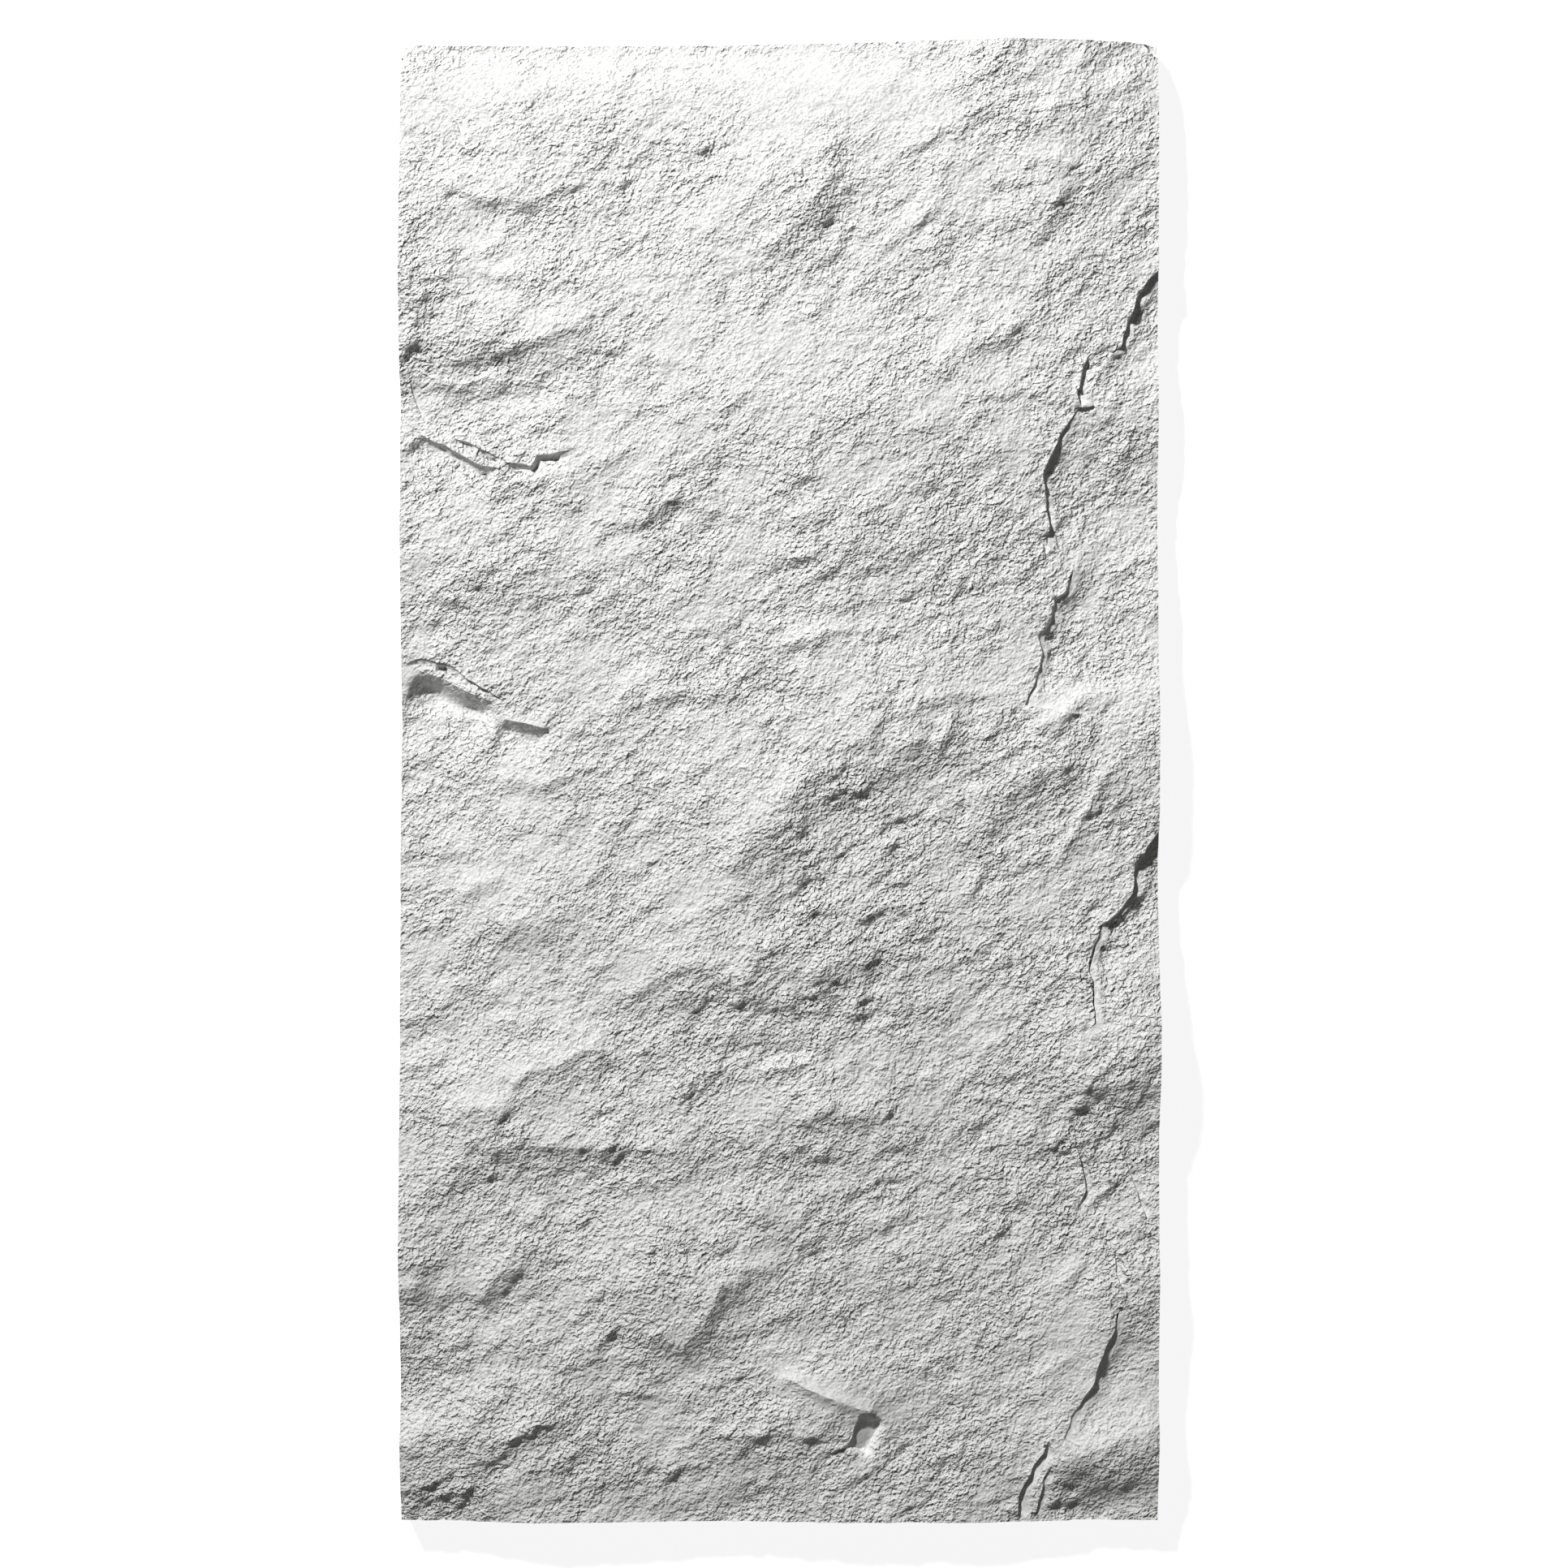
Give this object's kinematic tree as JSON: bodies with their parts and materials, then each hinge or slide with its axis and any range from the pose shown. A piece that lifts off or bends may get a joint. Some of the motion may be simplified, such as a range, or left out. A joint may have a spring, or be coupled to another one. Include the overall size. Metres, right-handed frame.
{
  "type": "faux stone wall panel",
  "caption": "Rectangular moulded wall panel with a split-rock stone relief on its front, square-cut edges and a flat back for bonding to a wall.",
  "frame": {"origin": "centre of the flat back, on the level floor that the panel lies on", "axes": "+X across the width, to the right as seen from the front; +Y up the length as the panel hangs; +Z out of the back, through the stone face"},
  "size_m": [0.615, 1.2, 0.0547],
  "materials": {
    "moulded_polyurethane": "matt white moulded skin, unpainted"
  },
  "bodies": {
    "root": {"stone_panel": "moulded_polyurethane"}
  },
  "joints": []
}
